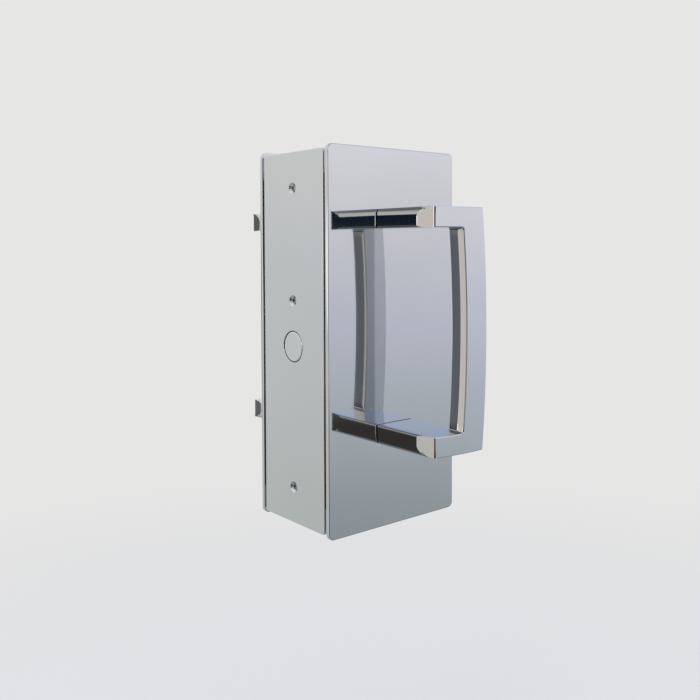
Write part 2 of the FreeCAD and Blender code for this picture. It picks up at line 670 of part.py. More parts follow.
def latch():
    """The sliding bolt with its magnet, clip, spring and guide."""
    groove = "( bolt_width / 2 - clip_depth )"
    bolt = turned("latch_bolt", [
        ("0", "0"), ("0", "bolt_width / 2 - bolt_ease"), ("bolt_ease", "bolt_width / 2"),
        (CLIP_FRONT, "bolt_width / 2"), (CLIP_FRONT, groove),
        (f"{CLIP_FRONT} + clip_thickness", groove), (f"{CLIP_FRONT} + clip_thickness", "bolt_width / 2"),
        ("bolt_length", "bolt_width / 2"), ("bolt_length", "magnet_width / 2 + seat_clearance"),
        ("bolt_skin", "magnet_width / 2 + seat_clearance"), ("bolt_skin", "0")])
    magnet = turned("bolt_magnet", [
        ("0", "0"), ("0", "magnet_width / 2"),
        ("magnet_length", "magnet_width / 2"), ("magnet_length", "0")])
    clip = ring("bolt_clip", f"( 2 * {SPRING_BORE} - 2 * clip_room )",
                "( bolt_width - 2 * clip_depth + 2 * seat_clearance )",
                "( clip_thickness - 2 * seat_clearance )")
    gap = new_sketch(clip, "gap", "YZ_Plane")
    draw_rectangle(gap, "-1 * clip_depth * 2", "clip_depth * 2", "-1 * bolt_width", "0")
    pocket(clip, "clip_gap", gap, "clip_thickness", backwards=True)
    seat = ring("spring_seat", f"( 2 * {SPRING_BORE} - 2 * seat_room )",
                "( bolt_width + 2 * bolt_fit )", "seat_thickness")
    guide = turned("bolt_guide", [
        ("0", "bolt_width / 2 + bolt_fit"), ("0", f"{SLEEVE} + guide_flange - seat_clearance"),
        ("guide_flange_thickness", f"{SLEEVE} + guide_flange - seat_clearance"),
        ("guide_flange_thickness", f"{SLEEVE} - seat_clearance"),
        (GUIDE_LENGTH, f"{SLEEVE} - seat_clearance"), (GUIDE_LENGTH, SPRING_BORE),
        ("guide_lip", SPRING_BORE), ("guide_lip", "bolt_width / 2 + bolt_fit")])
    buffer = turned("bolt_buffer", [
        ("0", "0"), ("0", f"{SPRING_BORE} - bolt_ring"),
        ("buffer_thickness", f"{SPRING_BORE} - bolt_ring"), ("buffer_thickness", "0")])
    drop = "-1 * bolt_drop"
    place(bolt, x=OUTER_EDGE, z=drop)
    place(magnet, x=f"{OUTER_EDGE} + bolt_skin", z=drop)
    place(clip, x=f"{OUTER_EDGE} + {CLIP_FRONT} + seat_clearance", z=drop)
    place(seat, x=f"{OUTER_EDGE} + {CLIP_FRONT} - seat_thickness", z=drop)
    place(guide, x="-1 * chassis_depth", z=drop)
    place(buffer, x=f"{OUTER_EDGE} + bolt_length + buffer_gap", z=drop)
    parts.extend([bolt, magnet, clip, seat, guide, buffer])
    bolt_spring(drop)
    guide_cap(drop)


def bolt_spring(drop):
    """The light return spring between the guide's lip and the clip's seat."""
    body = new_body("bolt_spring")
    wire = new_sketch(body, "wire", "XY_Plane")
    draw_circle(wire, "0", "( bolt_width + spring_room ) / 2", "spring_wire")
    coil = body.newObject("PartDesign::AdditiveHelix", "bolt_spring_coil")
    coil.Profile = wire
    coil.ReferenceAxis = (wire, ["H_Axis"])
    coil.Mode = "height-turns-angle"
    start = "( edge_plate_thickness + guide_lip + spring_end_gap + spring_wire / 2 )"
    finish = f"( {CLIP_FRONT} - seat_thickness - spring_end_gap - spring_wire / 2 )"
    set_size(coil, "Height", f"{finish} - {start}")
    set_size(coil, "Turns", "spring_turns")
    doc.recompute()
    place(body, x=f"{OUTER_EDGE} + {start}", z=drop)
    parts.append(body)


def guide_cap(drop):
    """The eared cap that closes the back of the guide, and its two screws."""
    body = new_body("guide_cap")
    outline = new_sketch(body, "outline", "YZ_Plane")
    half_width = f"( {SLEEVE} + cap_ear )"
    draw_rectangle(outline, f"-1 * {half_width}", half_width, f"-1 * {SLEEVE}", SLEEVE)
    pad(body, "plate", outline, "cap_thickness")
    dress(body, "Fillet", "corners", "Radius", "cap_ear / 2", lambda edge: along(edge, AXIS_X))
    holes = new_sketch(body, "holes", "YZ_Plane")
    for sign in ("", "-1 * "):
        draw_circle(holes, f"{sign}{CAP_SCREW_PLACE}", "0", "cap_screw + 2 * hole_clearance")
    pocket_through(body, "screw_holes", holes)
    place(body, x=f"-1 * chassis_depth + {GUIDE_LENGTH}", z=drop)
    parts.append(body)
    screws = []
    for name, sign in (("near", "-1 * "), ("far", "")):
        end = "cap_screw_head_height + cap_thickness + cap_screw_bite"
        screw = turned(f"{name}_cap_screw", [
            ("0", "0"), ("0", "cap_screw_head / 2"), ("cap_screw_head_height", "cap_screw_head / 2"),
            ("cap_screw_head_height", "cap_screw / 2"), (end, "cap_screw / 2"), (end, "0")])
        socket(screw, "cap_screw_socket", "cap_screw_head_height / 2")
        place(screw, x=f"-1 * chassis_depth + {GUIDE_LENGTH} + cap_thickness + cap_screw_head_height",
              y=f"{sign}{CAP_SCREW_PLACE}", z=drop, turn=Rotation(AXIS_Z, 180))
        screws.append(screw)
    group("guide_cap_screws", screws)


def write_parts():
    """Check every object, then write one file for each sub-part."""
    doc.recompute()
    for item in doc.Objects:
        if "Invalid" in item.State or "Error" in item.State:
            raise RuntimeError(f"{item.Name} failed: {item.State}")
    for part in parts:
        if part.Shape.isNull() or not part.Shape.isValid():
            raise RuntimeError(f"{part.Label} has no valid shape")
    os.makedirs("parts", exist_ok=True)
    for part in parts:
        part.Shape.exportStep(f"parts/{part.Label}.step")
        print(part.Label, len(part.Shape.Solids), round(part.Shape.Volume, 1))


chassis()
edge_plate()
face_plate("near_face_plate", f"-1 * {SIDE_FACE}", -SIZES["plate_thickness"], "0")
face_plate("far_face_plate", f"{SIDE_FACE} + plate_thickness", 0, "-1 * far_pull_shift")
pull("near_pull", f"-1 * {SIDE_FACE} - plate_thickness", "0", Rotation(), "pull_raise")
pull("far_pull", f"{SIDE_FACE} + plate_thickness", "-1 * far_pull_shift", UPSIDE_DOWN, "pull_raise")
pull_fasteners("near", TO_NEAR, "-1", "0")
pull_fasteners("far", TO_FAR, "1", "-1 * far_pull_shift")
edge_fasteners()
latch()
write_parts()
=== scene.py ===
import itertools
import math

import bmesh
import bpy
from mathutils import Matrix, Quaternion, Vector


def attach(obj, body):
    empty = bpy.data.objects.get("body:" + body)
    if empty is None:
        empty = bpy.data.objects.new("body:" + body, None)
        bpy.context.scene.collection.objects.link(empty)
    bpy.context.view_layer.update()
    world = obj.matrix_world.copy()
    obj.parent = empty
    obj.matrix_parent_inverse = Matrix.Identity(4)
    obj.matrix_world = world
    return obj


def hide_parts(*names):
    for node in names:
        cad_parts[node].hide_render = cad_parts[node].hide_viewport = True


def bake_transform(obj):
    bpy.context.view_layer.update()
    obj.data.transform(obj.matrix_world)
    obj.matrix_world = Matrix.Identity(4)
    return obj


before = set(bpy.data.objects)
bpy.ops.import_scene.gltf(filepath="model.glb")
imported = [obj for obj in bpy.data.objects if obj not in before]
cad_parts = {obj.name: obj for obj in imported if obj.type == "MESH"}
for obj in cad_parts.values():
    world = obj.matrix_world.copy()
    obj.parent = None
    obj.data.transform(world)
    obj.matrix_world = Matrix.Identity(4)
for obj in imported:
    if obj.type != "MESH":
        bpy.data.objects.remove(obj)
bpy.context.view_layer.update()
mm = 0.001
hair = 1e-4  # mm, lengths closer than this count as equal
print("frame loaded:", len(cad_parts), "nodes")


# finishes
def newFinish(name):
    mat = bpy.data.materials.new(name)
    mat.use_nodes = True
    return mat, mat.node_tree, mat.node_tree.nodes["Principled BSDF"]


def noise(tree, scale, stretch=(1, 1, 1), **options):
    coords = tree.nodes.new("ShaderNodeTexCoord")
    mapping = tree.nodes.new("ShaderNodeMapping")
    mapping.inputs["Scale"].default_value = stretch
    texture = tree.nodes.new("ShaderNodeTexNoise")
    texture.inputs["Scale"].default_value = scale
    for socketName, number in options.items():
        texture.inputs[socketName].default_value = number
    tree.links.new(coords.outputs["Object"], mapping.inputs["Vector"])
    tree.links.new(mapping.outputs["Vector"], texture.inputs["Vector"])
    return texture.outputs["Fac"]


def spread(tree, source, low, high, fromLow=0.3, fromHigh=0.7):
    span = tree.nodes.new("ShaderNodeMapRange")
    span.inputs["From Min"].default_value = fromLow
    span.inputs["From Max"].default_value = fromHigh
    span.inputs["To Min"].default_value = low
    span.inputs["To Max"].default_value = high
    tree.links.new(source, span.inputs["Value"])
    return span.outputs["Result"]


def toned(tree, source, dark, light, fromLow=0.3, fromHigh=0.7):
    ramp = tree.nodes.new("ShaderNodeValToRGB")
    ramp.color_ramp.elements[0].position = fromLow
    ramp.color_ramp.elements[0].color = (*dark, 1)
    ramp.color_ramp.elements[1].position = fromHigh
    ramp.color_ramp.elements[1].color = (*light, 1)
    tree.links.new(source, ramp.inputs["Fac"])
    return ramp.outputs["Color"]


def roughened(tree, shader, source, strength, distance):
    bump = tree.nodes.new("ShaderNodeBump")
    bump.inputs["Strength"].default_value = strength
    bump.inputs["Distance"].default_value = distance
    tree.links.new(source, bump.inputs["Height"])
    tree.links.new(bump.outputs["Normal"], shader.inputs["Normal"])


# painted shade: close to the plate the colour turns to a dark tone, standing in for the shadow in the seam
def withPaintedSeamShade(tree, colour, edges, tone):
    coords = tree.nodes.new("ShaderNodeTexCoord")
    split = tree.nodes.new("ShaderNodeSeparateXYZ")
    tree.links.new(coords.outputs["Object"], split.inputs[0])
    away = tree.nodes.new("ShaderNodeMath")
    away.operation = "ABSOLUTE"
    tree.links.new(split.outputs["Y"], away.inputs[0])
    mix = tree.nodes.new("ShaderNodeMix")
    mix.data_type = "RGBA"
    mix.inputs["A"].default_value = (*tone, 1)
    tree.links.new(spread(tree, away.outputs[0], 0.0, 1.0, *edges), mix.inputs["Factor"])
    tree.links.new(colour, mix.inputs["B"])
    return mix.outputs["Result"]


def metalFinish(name, look):
    mat, tree, shader = newFinish(name)
    shader.inputs["Metallic"].default_value = 1.0
    cloud = noise(tree, look["cloudScale"], Detail=3.0)
    grain = noise(tree, look["grainScale"], look.get("grainStretch", (1, 1, 1)), Detail=5.0, Roughness=0.6)
    colour = toned(tree, cloud, look["dark"], look["light"])
    # painted shade along the seam, when the look asks for it
    if "paintedShadeBand" in look:
        colour = withPaintedSeamShade(tree, colour, look["paintedShadeBand"], look["paintedShadeTone"])
    tree.links.new(colour, shader.inputs["Base Color"])
    tree.links.new(spread(tree, grain, *look["rough"]), shader.inputs["Roughness"])
    if "bump" in look:
        roughened(tree, shader, grain, *look["bump"])
    return mat


chromeLook = {"dark": (0.655, 0.665, 0.69), "light": (0.68, 0.69, 0.71), "cloudScale": 35.0,
              "grainScale": 900.0, "rough": (0.02, 0.05)}
polishedChrome = metalFinish("polishedChrome", chromeLook)
chromeWithPaintedSeamShade = metalFinish("chromeWithPaintedSeamShade", {  # the seam band is painted shade: a thin dark ring at the foot of the posts, where they meet the plate
    **chromeLook, "paintedShadeBand": (24.675 * mm, 24.8 * mm), "paintedShadeTone": (0.03, 0.03, 0.035)})
mirrorSheet = metalFinish("mirrorSheet", {
    "dark": (0.625, 0.635, 0.65), "light": (0.645, 0.655, 0.67), "cloudScale": 22.0,
    "grainScale": 420.0, "grainStretch": (6, 6, 0.25), "rough": (0.03, 0.065)})
castCase = metalFinish("castCase", {
    "dark": (0.62, 0.63, 0.64), "light": (0.70, 0.71, 0.72), "cloudScale": 60.0,
    "grainScale": 1500.0, "rough": (0.38, 0.55), "bump": (0.12, 0.06 * mm)})
screwSteel = metalFinish("screwSteel", {
    "dark": (0.50, 0.51, 0.52), "light": (0.58, 0.59, 0.60), "cloudScale": 160.0,
    "grainScale": 1800.0, "rough": (0.16, 0.28)})
insertBrass = metalFinish("insertBrass", {
    "dark": (0.72, 0.56, 0.28), "light": (0.82, 0.66, 0.36), "cloudScale": 200.0,
    "grainScale": 2200.0, "rough": (0.25, 0.4), "bump": (0.1, 0.05 * mm)})
springSteel = metalFinish("springSteel", {
    "dark": (0.38, 0.39, 0.41), "light": (0.46, 0.47, 0.49), "cloudScale": 180.0,
    "grainScale": 2600.0, "rough": (0.22, 0.34)})
magnetNickel = metalFinish("magnetNickel", {
    "dark": (0.62, 0.61, 0.59), "light": (0.69, 0.68, 0.66), "cloudScale": 150.0,
    "grainScale": 1600.0, "rough": (0.18, 0.3)})


def mouldedFinish(name, look):
    mat, tree, shader = newFinish(name)
    skin = noise(tree, look["skinScale"], Detail=4.0)
    tree.links.new(toned(tree, skin, look["dark"], look["light"]), shader.inputs["Base Color"])
    tree.links.new(spread(tree, skin, *look["rough"]), shader.inputs["Roughness"])
    roughened(tree, shader, skin, *look["bump"])
    return mat


guidePlastic = mouldedFinish("guidePlastic", {
    "dark": (0.83, 0.83, 0.81), "light": (0.88, 0.88, 0.86), "skinScale": 900.0, "rough": (0.36, 0.48),
    "bump": (0.15, 0.05 * mm)})
bufferRubber = mouldedFinish("bufferRubber", {
    "dark": (0.04, 0.04, 0.04), "light": (0.06, 0.06, 0.06), "skinScale": 1400.0, "rough": (0.7, 0.85),
    "bump": (0.15, 0.05 * mm)})
print("finishes made:", len(bpy.data.materials))


# shared mesh steps
def smoothed(mesh, sharpAngle=30.0):
    mesh.shade_smooth()
    mesh.set_sharp_from_angle(angle=math.radians(sharpAngle))


def pieceFrom(name, bm, finish, **shading):
    bmesh.ops.remove_doubles(bm, verts=bm.verts, dist=hair * mm)
    bmesh.ops.recalc_face_normals(bm, faces=bm.faces)
    mesh = bpy.data.meshes.new(name)
    bm.to_mesh(mesh)
    bm.free()
    smoothed(mesh, **shading)
    mesh.materials.append(finish)
    piece = bpy.data.objects.new(name, mesh)
    bpy.context.collection.objects.link(piece)
    return piece


def settle(piece, body, slotName, *nodes):
    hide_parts(*nodes)
    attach(piece, body)


def freeze(piece):
    graph = bpy.context.evaluated_depsgraph_get()
    made = bpy.data.meshes.new_from_object(piece.evaluated_get(graph))
    piece.modifiers.clear()
    piece.data = made


def bridgeRings(bm, rings):
    for one, other in zip(rings, rings[1:]):
        count = len(one)
        for i in range(count):
            j = (i + 1) % count
            bm.faces.new((one[i], one[j], other[j], other[i]))


def fillBetween(bm, loops):
    edges = []
    for loop in loops:
        for i, vert in enumerate(loop):
            edges.append(bm.edges.get((vert, loop[(i + 1) % len(loop)])))
    bmesh.ops.triangle_fill(bm, edges=edges, use_beauty=True)


def sheetFrom(name, outerRings, holeRings, finish):
    bm = bmesh.new()
    stacks = []
    for stack in [outerRings] + holeRings:
        rings = [[bm.verts.new(point) for point in ring] for ring in stack]
        bridgeRings(bm, rings)
        stacks.append(rings)
    fillBetween(bm, [rings[0] for rings in stacks])
    fillBetween(bm, [rings[-1] for rings in stacks])
    return pieceFrom(name, bm, finish)


def divided(low, high, count):
    return [low + (high - low) * k / count for k in range(count + 1)]


def quarterTurns(count):
    return divided(0.0, math.pi / 2, count)


def sag(radius, offset):
    return radius - math.sqrt(radius ** 2 - offset ** 2)


def roundedOutline(halfWidth, halfHeight, corner, inset, steps=8):
    reach = corner - inset
    points = []
    for signA, signB, start in ((1, 1, 0), (-1, 1, 90), (-1, -1, 180), (1, -1, 270)):
        for k in range(steps + 1):
            turn = math.radians(start + 90 * k / steps)
            points.append((signA * (halfWidth - corner) + reach * math.cos(turn),
                           signB * (halfHeight - corner) + reach * math.sin(turn)))
    return points


def circleOutline(centreA, centreB, radius, count):
    return [(centreA + radius * math.cos(math.tau * k / count),
             centreB + radius * math.sin(math.tau * k / count)) for k in range(count)]


def easedSteps(ease, count=4, flatShare=1.4):
    rounding = [(ease * (1 - math.sin(turn)), ease * (1 - math.cos(turn))) for turn in quarterTurns(count)]
    return [(ease * flatShare, 0.0)] + rounding  # inset and depth; the first loop keeps the face flat


# face plates
facePlates = {"halfWidth": 35.25, "halfHeight": 79.4, "corner": 2.5, "thickness": 2.0, "ease": 0.35,
              "backEase": 0.1, "backFlat": 0.3, "middle": -16.75, "caseSide": 22.225}


def facePlate(name, node, side):
    thickness = facePlates["thickness"]
    face = side * (facePlates["caseSide"] + thickness)
    rows = easedSteps(facePlates["ease"])
    rows += [(0.0, thickness - facePlates["backEase"]), (facePlates["backEase"], thickness),
             (facePlates["backFlat"], thickness)]
    outer = []
    for inset, depth in rows:
        outline = roundedOutline(facePlates["halfWidth"], facePlates["halfHeight"], facePlates["corner"], inset)
        outer.append([((facePlates["middle"] + a) * mm, (face - side * depth) * mm, b * mm) for a, b in outline])
    settle(sheetFrom(name, outer, [], mirrorSheet), "case", "polished_steel", node)


facePlate("nearFacePlate", "near_face_plate", -1)
facePlate("farFacePlate", "far_face_plate", 1)
print("face plates made")


# edge plate
edgePlate = {"halfWidth": 21.125, "halfHeight": 77.8, "corner": 1.5, "thickness": 2.0, "ease": 0.35, "face": -52.0,
             "boltHole": 6.65, "boltDrop": -3.4, "boltEase": 0.15, "boltFlat": 0.25, "boltSegments": 72,
             "screwHeights": (62.7, 15.9, -62.7), "screwHead": 2.3, "screwHole": 1.45, "screwEase": 0.12,
             "screwFlat": 0.2, "sinkExtra": 0.1, "screwSegments": 48}


def edgeRing(depth, outline):
    return [((edgePlate["face"] + depth) * mm, a * mm, b * mm) for a, b in outline]


def edgeHole(height, count, rows):
    return [edgeRing(depth, circleOutline(0, height, radius, count)) for depth, radius in rows]


outerRings = []
for inset, depth in easedSteps(edgePlate["ease"]) + [(0.0, edgePlate["thickness"])]:
    outline = roundedOutline(edgePlate["halfWidth"], edgePlate["halfHeight"], edgePlate["corner"], inset)
    outerRings.append(edgeRing(depth, outline))
boltHole, screwHead, screwHole = edgePlate["boltHole"], edgePlate["screwHead"], edgePlate["screwHole"]
boltRows = ((0.0, boltHole + edgePlate["boltFlat"]), (0.0, boltHole + edgePlate["boltEase"]),
            (edgePlate["boltEase"], boltHole), (edgePlate["thickness"], boltHole))
screwRows = ((0.0, screwHead + edgePlate["screwFlat"]), (0.0, screwHead + edgePlate["screwEase"]),
             (screwHead - screwHole + edgePlate["sinkExtra"], screwHole), (edgePlate["thickness"], screwHole))
holeRings = [edgeHole(edgePlate["boltDrop"], edgePlate["boltSegments"], boltRows)]
holeRings += [edgeHole(height, edgePlate["screwSegments"], screwRows) for height in edgePlate["screwHeights"]]
edgePiece = sheetFrom("edgePlate", outerRings, holeRings, mirrorSheet)
settle(edgePiece, "case", "polished_steel", "edge_plate")
print("edge plate made")


# pulls
pulls = {"height": 98.0, "raise": 5.0, "arm": 8.2, "post": 20.3, "reach": 29.3, "bar": 8.2, "grip": 11.9,
         "crown": 0.4, "projection": 34.7, "arch": 2.5, "frontRadius": 100.0, "crest": 12.8,
         "endSag": 1.6, "endTop": 4.0, "endRound": 0.9, "endMargin": 0.1, "innerRound": 1.0,
         "facetDepth": 7.5, "facetWidth": 1.5, "ease": 0.4, "baseEase": 0.9, "fingerEase": 0.75,
         "fingerZone": 1.0, "facetEase": 0.6, "facetLeast": 0.05, "facetTaper": 0.4,
         "easeFrom": 35.0, "easeSegments": 5, "sharpAngle": 9.0, "flatAngle": 1e-3,
         "armColumns": 6, "barColumns": 3, "frontRows": 8, "roundRows": 6, "gripRows": 14, "endRows": 10,
         "middle": facePlates["middle"], "plateFace": facePlates["caseSide"] + facePlates["thickness"],
         "farShift": -9.5}


def gridSolid(cuts, filled):
    bm = bmesh.new()
    sizes = [len(cut) - 1 for cut in cuts]
    made = {}

    def corner(*spot):
        if spot not in made:
            made[spot] = bm.verts.new([cut[index] for cut, index in zip(cuts, spot)])
        return made[spot]

    def solidAt(cell):
        if any(c < 0 or c >= size for c, size in zip(cell, sizes)):
            return False
        return filled(*[(cut[index] + cut[index + 1]) / 2 for cut, index in zip(cuts, cell)])

    for cell in itertools.product(*[range(size) for size in sizes]):
        if not solidAt(cell):
            continue
        for axis, step in itertools.product(range(3), (0, 1)):
            beside = list(cell)
            beside[axis] += 1 if step else -1
            if solidAt(beside):
                continue
            base = list(cell)
            base[axis] += step
            one, other = [a for a in range(3) if a != axis]
            quad = []
            for da, db in ((0, 0), (1, 0), (1, 1), (0, 1)):
                spot = list(base)
                spot[one] += da
                spot[other] += db
                quad.append(corner(*spot))
            bm.faces.new(quad)
    return bm


def pullPiece(name, node, side, shift):
    half = pulls["height"] / 2
    inner = half - pulls["arm"]
    innerRound = pulls["innerRound"]
    left = -pulls["post"] / 2
    postRight = pulls["post"] / 2
    barRight = pulls["reach"] + left
    gripLeft = barRight - pulls["grip"]
    back = pulls["projection"] - pulls["bar"]
    archRadius = (half ** 2 + pulls["arch"] ** 2) / (2 * pulls["arch"])
    crownRadius = (pulls["bar"] ** 2 / 4 + pulls["crown"] ** 2) / (2 * pulls["crown"])

    # s runs along the plate, n out from it and z up
    alongS = divided(left, gripLeft, pulls["armColumns"])[:-2] + [gripLeft]
    alongS += divided(postRight, barRight, pulls["barColumns"])
    alongN = [0.0] + divided(back, pulls["projection"], pulls["frontRows"])
    roundCuts = [inner - innerRound * (1 - math.cos(turn)) for turn in quarterTurns(pulls["roundRows"])]
    gripCuts = divided(inner - innerRound, 0.0, pulls["gripRows"])
    turns = quarterTurns(pulls["endRows"])
    armCuts = [half - pulls["endTop"] * (1 - math.sin(turn)) for turn in turns]
    armCuts += [inner + pulls["endRound"] * (1 - math.sin(turn)) for turn in turns]
    # these two keep the middle of the free end flat
    armCuts += [inner + pulls["endRound"] + pulls["endMargin"], half - pulls["endTop"] - pulls["endMargin"]]
    upper = {round(z, 6) for z in armCuts + roundCuts + gripCuts}
    alongZ = sorted(upper | {-z for z in upper})

    def filled(s, n, z):
        if abs(z) > inner:
            return s < postRight or n > back
        return s > gripLeft and n > back

    def frontAt(s):
        return pulls["projection"] - sag(pulls["frontRadius"], pulls["crest"] - s)

    def rounded(reach, depth, distance):
        return depth * sag(1.0, min(1.0, max(0.0, 1 - distance / reach)))

    bm = gridSolid((alongS, alongN, alongZ), filled)
    bmesh.ops.recalc_face_normals(bm, faces=bm.faces)
    spare = []
    for edge in bm.edges:
        one, other = edge.verts
        level = abs(one.co.z)
        upright = abs(one.co.z - other.co.z) > hair
        if upright or not inner - innerRound + hair < level < half - hair:
            continue
        curved = left if level > inner + hair else gripLeft
        flat = edge.calc_face_angle(1.0) < pulls["flatAngle"] and abs(edge.link_faces[0].normal.z) < 0.5
        if flat and max(abs(one.co.x - curved), abs(other.co.x - curved)) > hair:
            spare.append(edge)
    bmesh.ops.dissolve_edges(bm, edges=spare, use_verts=True)  # fine rows stay on the curved sides only
    for vert in bm.verts:
        s, n, z = vert.co
        if abs(s - left) < hair:
            s += rounded(pulls["endTop"], pulls["endSag"], half - abs(z))  # outer corner of the free end
            s += rounded(pulls["endRound"], pulls["endRound"], abs(z) - inner)  # inner corner
        if abs(s - gripLeft) < hair and abs(z) < inner + hair and n > back - hair:
            s -= pulls["crown"] - sag(crownRadius, n - back - pulls["bar"] / 2)  # finger side
            room = inner - abs(z)
            if room < innerRound:
                s -= sag(innerRound, innerRound - room)
            s -= sag(archRadius, z)  # arched grip
        elif s > postRight + hair:
            s -= sag(archRadius, z) * (s - postRight) / (barRight - postRight)
        if n > back:
            n = back + (n - back) / pulls["bar"] * (frontAt(s) - back)  # curved front
        vert.co = (s, n, z)
    weight = bm.edges.layers.float.new("bevel_weight_edge")  # mm of easing, made before the facet is cut
    slope = Vector((-pulls["facetDepth"], pulls["facetWidth"], 0)).normalized()
    cut = bmesh.ops.bisect_plane(bm, geom=bm.verts[:] + bm.edges[:] + bm.faces[:], dist=1e-6, plane_no=slope,
                                 plane_co=(left, frontAt(left) - pulls["facetDepth"], 0), clear_outer=True)
    creases = [e for e in cut["geom_cut"] if isinstance(e, bmesh.types.BMEdge)]
    bmesh.ops.holes_fill(bm, edges=creases, sides=0)
    bmesh.ops.recalc_face_normals(bm, faces=bm.faces)
    fingerRight = gripLeft + pulls["fingerZone"]
    fingerFront = back + pulls["fingerZone"]
    for edge in bm.edges:
        if edge.is_convex and edge.calc_face_angle(0.0) > math.radians(pulls["easeFrom"]):
            ends = [vert.co for vert in edge.verts]
            edge[weight] = pulls["baseEase"] if all(end.y < hair for end in ends) else pulls["ease"]
            inward = inner - min(abs(end.z) for end in ends)
            if inward > hair and all(end.x < fingerRight and end.y > fingerFront for end in ends):
                edge[weight] = pulls["fingerEase"]  # front edge of the finger side
    for edge in creases:
        level = sum(abs(vert.co.z) for vert in edge.verts) / 2
        room = min(half - level, level - inner)  # the easing tapers towards the facet's ends
        edge[weight] = min(pulls["facetEase"], max(pulls["facetLeast"], pulls["facetTaper"] * room))
    for vert in bm.verts:
        s, n, z = vert.co
        vert.co = ((pulls["middle"] + shift + s) * mm, side * (pulls["plateFace"] + n) * mm,
                   (pulls["raise"] + z) * mm)
    piece = pieceFrom(name, bm, chromeWithPaintedSeamShade, sharpAngle=pulls["sharpAngle"])
    bevel = piece.modifiers.new("easedEdges", "BEVEL")
    bevel.width = mm
    bevel.segments = pulls["easeSegments"]
    bevel.limit_method = "WEIGHT"
    bevel.harden_normals = True
    bevel.use_clamp_overlap = False
    freeze(piece)
    settle(piece, "case", "polished_chrome", node)


pullPiece("nearPull", "near_pull", -1, 0.0)
pullPiece("farPull", "far_pull", 1, pulls["farShift"])
print("pulls made")


# latch bolt
latchBolt = {"radius": 6.3, "length": 26.0, "skin": 1.5, "ease": 0.4, "grooveDepth": 0.7, "groove": (22.9, 23.7),
             "pocket": 4.53, "segments": 96, "face": edgePlate["face"], "drop": edgePlate["boltDrop"]}


def turnedPiece(name, profile, look, finish):
    bm = bmesh.new()
    rings = []
    for depth, radius in profile:
        outline = [(0, look["drop"])]
        if radius > hair:
            outline = circleOutline(0, look["drop"], radius, look["segments"])
        rings.append([bm.verts.new(((look["face"] + depth) * mm, a * mm, b * mm)) for a, b in outline])
    for one, other in zip(rings, rings[1:]):
        if len(one) == len(other):
            bridgeRings(bm, [one, other])
            continue
        tip, rim = (one[0], other) if len(one) == 1 else (other[0], one)
        for i, vert in enumerate(rim):
            bm.faces.new((tip, vert, rim[(i + 1) % len(rim)]))
    return pieceFrom(name, bm, finish)


boltRadius = latchBolt["radius"]
grooveRadius = boltRadius - latchBolt["grooveDepth"]
grooveFront, grooveRear = latchBolt["groove"]
boltProfile = [(0.0, 0.0)] + [(depth, boltRadius - inset) for inset, depth in easedSteps(latchBolt["ease"])]
boltProfile += [(grooveFront, boltRadius), (grooveFront, grooveRadius), (grooveRear, grooveRadius),
                (grooveRear, boltRadius), (latchBolt["length"], boltRadius),
                (latchBolt["length"], latchBolt["pocket"]), (latchBolt["skin"], latchBolt["pocket"]),
                (latchBolt["skin"], 0.0)]
boltPiece = turnedPiece("latchBolt", boltProfile, latchBolt, polishedChrome)
settle(boltPiece, "bolt", "polished_chrome", "latch_bolt")
print("latch bolt made")


# edge screws, one tree for the three
edgeScrews = {"sizes": {"Head Radius": 2.3, "Shank Radius": 1.25, "Sink": 1.05, "Length": 9.0, "Socket Width": 2.0,
                        "Socket Depth": 1.25},
              "sides": 64, "shankShare": 0.995, "face": edgePlate["face"], "heights": edgePlate["screwHeights"],
              "seed": 4}


